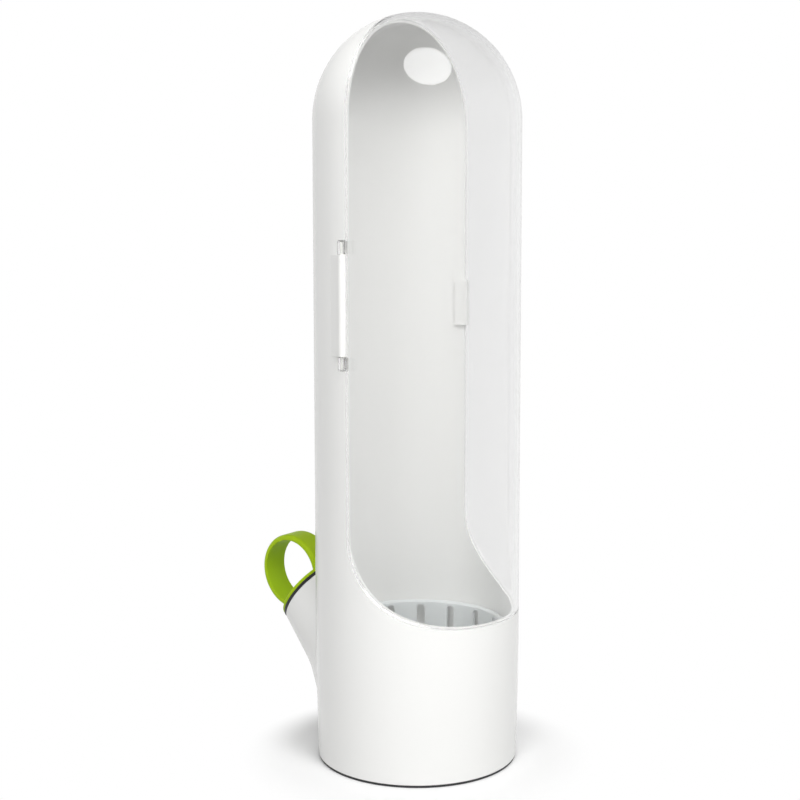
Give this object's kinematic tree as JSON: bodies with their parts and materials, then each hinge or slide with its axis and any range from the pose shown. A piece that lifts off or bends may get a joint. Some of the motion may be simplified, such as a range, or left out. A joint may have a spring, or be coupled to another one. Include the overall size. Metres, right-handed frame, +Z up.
{
  "type": "herb keeper",
  "caption": "Upright domed keeper with a clear hinged front cover, a lift-out perforated basket in its water cup and a filling spout closed by a ring-pull stopper.",
  "frame": {"origin": "centre of the base's flat underside, on the tube's axis", "axes": "+Z up along the tube, -Y towards the clear window, +Y towards the spout, X across the window with the hinge at -X"},
  "size_m": [0.073, 0.1061, 0.259],
  "materials": {
    "white_abs": "polished moulded",
    "clear_san": "clear polished moulded",
    "acetal_pin": "extruded rod",
    "white_abs_cap": "moulded",
    "seal_rubber": "moulded",
    "pad_rubber": "matt moulded",
    "frosted_pp": "frosted translucent",
    "lime_silicone": "satin moulded",
    "gasket_rubber": "moulded"
  },
  "bodies": {
    "body": {"housing": "white_abs", "filler_spout": "white_abs", "base_cap": "white_abs_cap", "base_seal": "seal_rubber", "base_pad": "pad_rubber", "hinge_pin": "acetal_pin"},
    "cover": {"front_cover": "clear_san"},
    "stopper": {"stopper": "lime_silicone", "stopper_gasket": "gasket_rubber"},
    "basket": {"inner_basket": "frosted_pp"}
  },
  "joints": [
    {"name": "cover_hinge", "type": "hinge", "parent": "body", "child": "cover", "pos_m": [-0.0354, 0.0045, 0.1602], "axis": [0, 0, -1], "range_deg": [0, 115]},
    {"name": "stopper_pull", "type": "slide", "parent": "body", "child": "stopper", "axis": [0, 0.7944, 0.6074], "range_m": [0, 0.045]},
    {"name": "basket_lift", "type": "slide", "parent": "body", "child": "basket", "axis": [0, 0, 1], "range_m": [0, 0.075]}
  ]
}
